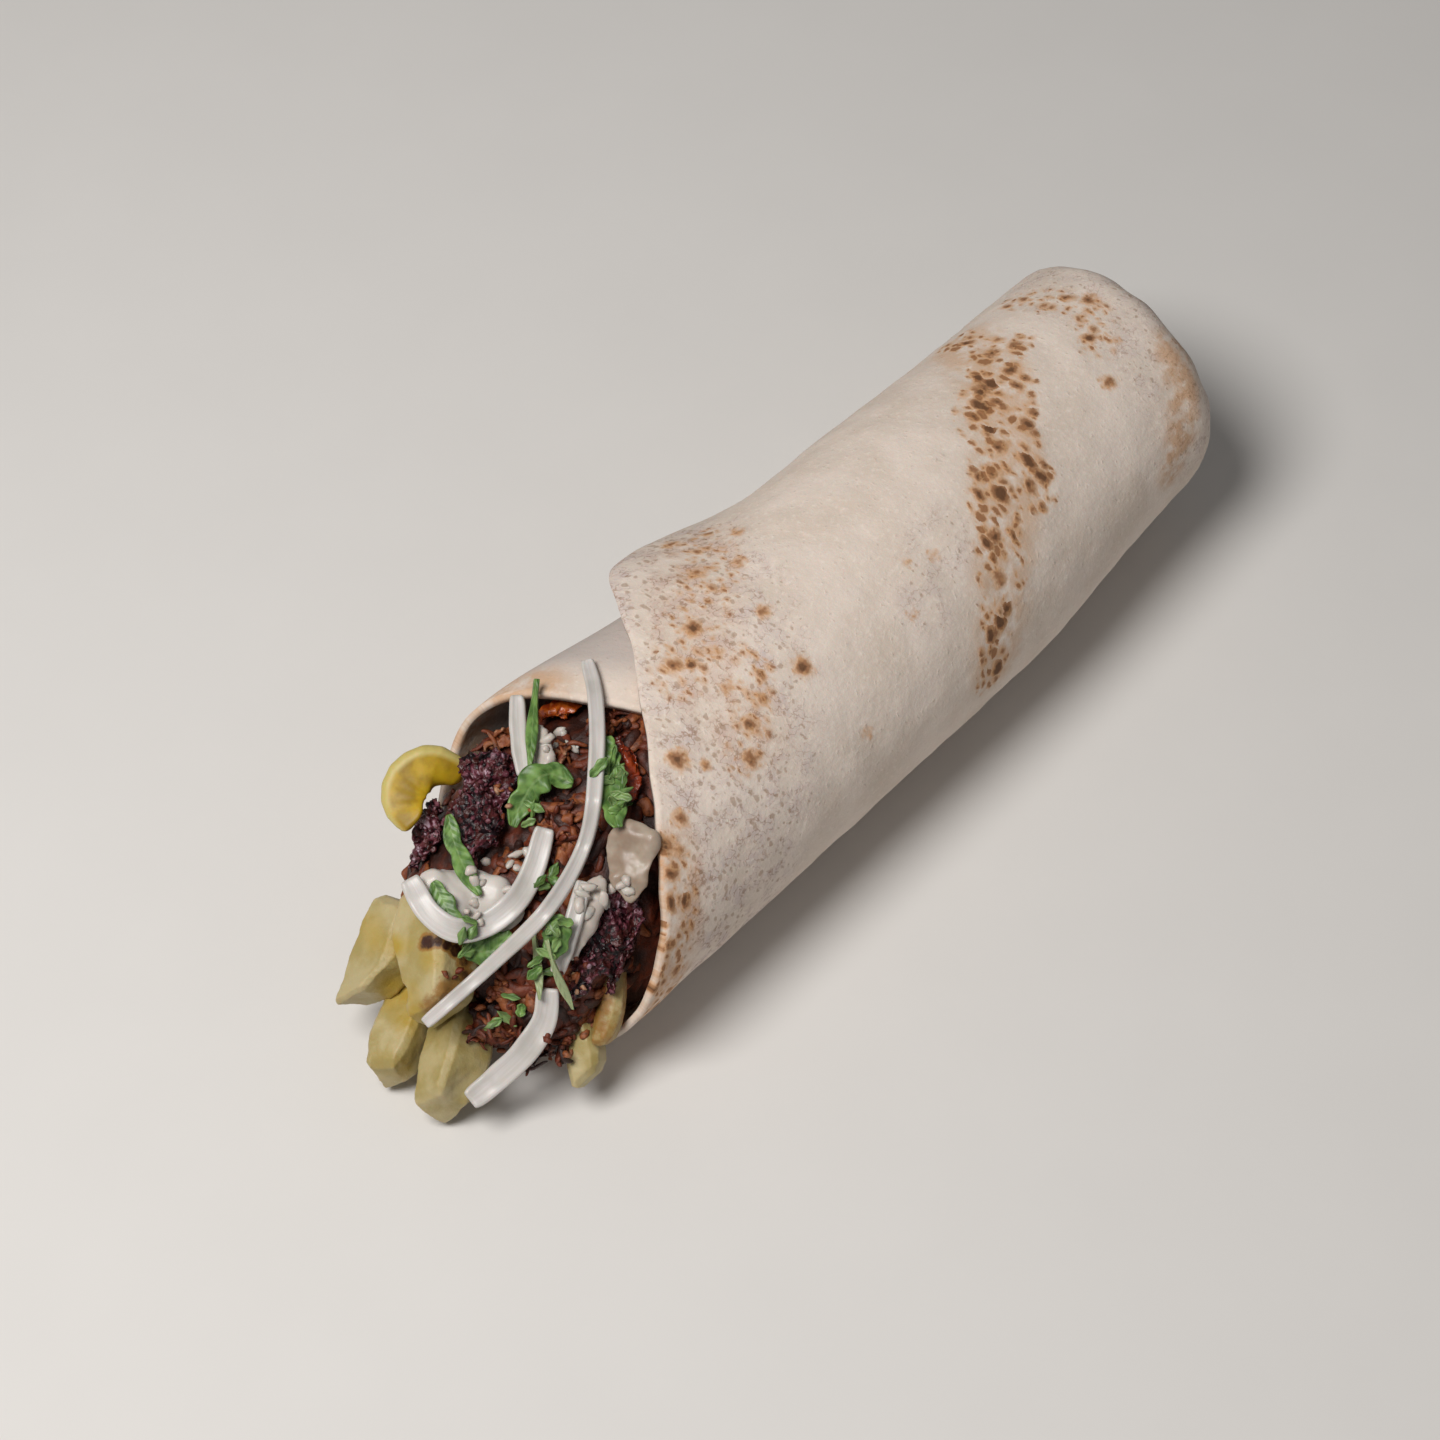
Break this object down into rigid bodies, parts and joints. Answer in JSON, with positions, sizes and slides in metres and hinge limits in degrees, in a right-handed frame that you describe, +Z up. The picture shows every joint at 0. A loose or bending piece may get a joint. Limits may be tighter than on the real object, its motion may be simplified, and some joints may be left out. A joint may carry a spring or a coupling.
{
  "type": "saj shawarma wrap",
  "caption": "Thin flatbread rolled round a filling of charred chicken, fries, raw onion, herbs and garlic sauce, open at one end, lying on its side",
  "frame": {"origin": "bottom centre of the whole wrap's box, on the surface it lies on", "axes": "+X along the roll towards its closed end, the open mouth at -X; +Z up; +Y the side of the bread's outer free edge"},
  "size_m": [0.2048, 0.0624, 0.0529],
  "materials": {
    "flatbread": "baked thin flatbread, dry and matte, with toasted spots",
    "roast_chicken": "torn roast chicken, moist",
    "charred_chicken": "charred chicken edge, dark purplish brown with a greasy shine",
    "glazed_chicken": "orange-red spiced glaze",
    "fried_potato": "soft pale yellow fry",
    "yellow_slice": "moist yellow slice with a pale skin",
    "garlic_sauce": "thick creamy garlic sauce",
    "raw_onion": "crisp translucent white onion",
    "parsley": "fresh green herb"
  },
  "bodies": {
    "root": {"charred_chicken_1": "charred_chicken", "charred_chicken_2": "charred_chicken", "charred_chicken_3": "charred_chicken", "chicken_shred_1": "roast_chicken", "chicken_shred_2": "roast_chicken", "chicken_shred_3": "roast_chicken", "chicken_shred_4": "roast_chicken", "chicken_shred_5": "roast_chicken", "chicken_shred_6": "roast_chicken", "chicken_shred_7": "roast_chicken", "garlic_sauce_1": "garlic_sauce", "garlic_sauce_2": "garlic_sauce", "garlic_sauce_3": "garlic_sauce", "garlic_sauce_4": "garlic_sauce", "glazed_chicken_1": "glazed_chicken", "glazed_chicken_2": "glazed_chicken", "onion_strip_1": "raw_onion", "onion_strip_2": "raw_onion", "onion_strip_3": "raw_onion", "onion_strip_4": "raw_onion", "onion_strip_5": "raw_onion", "parsley_leaf_1": "parsley", "parsley_leaf_2": "parsley", "parsley_leaf_3": "parsley", "parsley_leaf_4": "parsley", "parsley_leaf_5": "parsley", "parsley_leaf_6": "parsley", "parsley_stem_1": "parsley", "parsley_stem_2": "parsley", "parsley_stem_3": "parsley", "potato_fry_1": "fried_potato", "potato_fry_2": "fried_potato", "potato_fry_3": "fried_potato", "potato_fry_4": "fried_potato", "potato_fry_5": "fried_potato", "potato_fry_6": "fried_potato", "saj_bread": "flatbread", "shredded_filling": "roast_chicken", "yellow_slice": "yellow_slice"}
  },
  "joints": []
}
